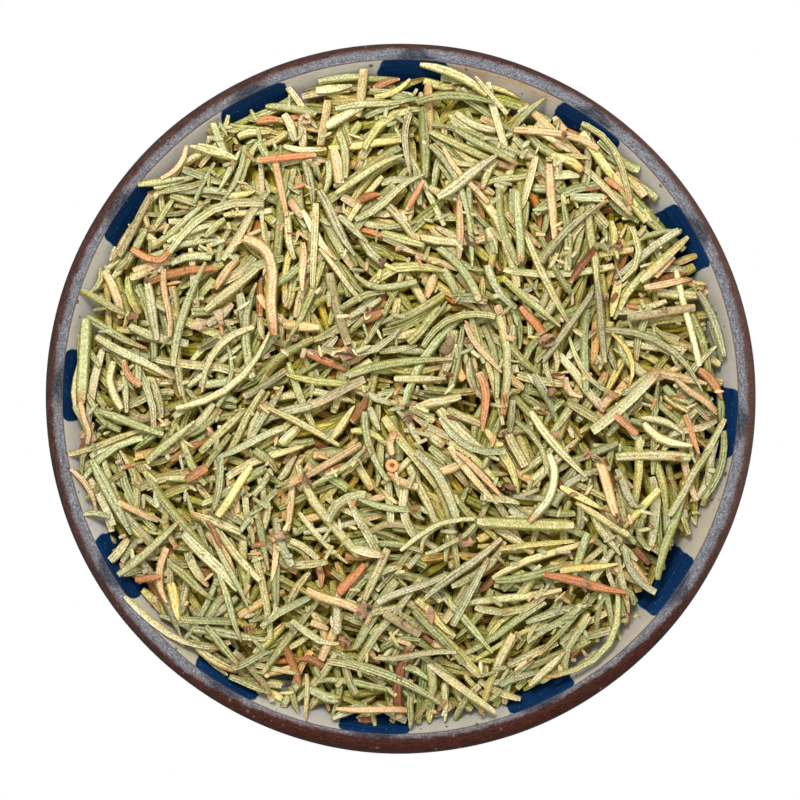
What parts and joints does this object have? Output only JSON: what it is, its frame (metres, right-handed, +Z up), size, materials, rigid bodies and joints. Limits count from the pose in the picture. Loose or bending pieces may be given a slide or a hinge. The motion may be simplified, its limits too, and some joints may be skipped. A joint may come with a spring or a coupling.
{
  "type": "dish of dried rosemary leaves",
  "caption": "Small round glazed stoneware dish on a foot ring, heaped with loose dried rosemary leaves and a few bits of stem.",
  "frame": {"origin": "centre of the foot ring, on the surface that the dish stands on", "axes": "+Z up through the middle of the dish; +Y towards the far side of the rim as seen from above in the picture, +X to its right"},
  "size_m": [0.11, 0.11, 0.0386],
  "materials": {
    "glazed_stoneware": "iron-brown glazed stoneware, with a mottled blue-grey lip and a pale inner wall painted with dark blue squares",
    "dried_leaf": "dried rosemary leaves, matt sage green to straw and brown"
  },
  "bodies": {
    "root": {"dish": "glazed_stoneware", "leaf_heap": "dried_leaf"}
  },
  "joints": []
}
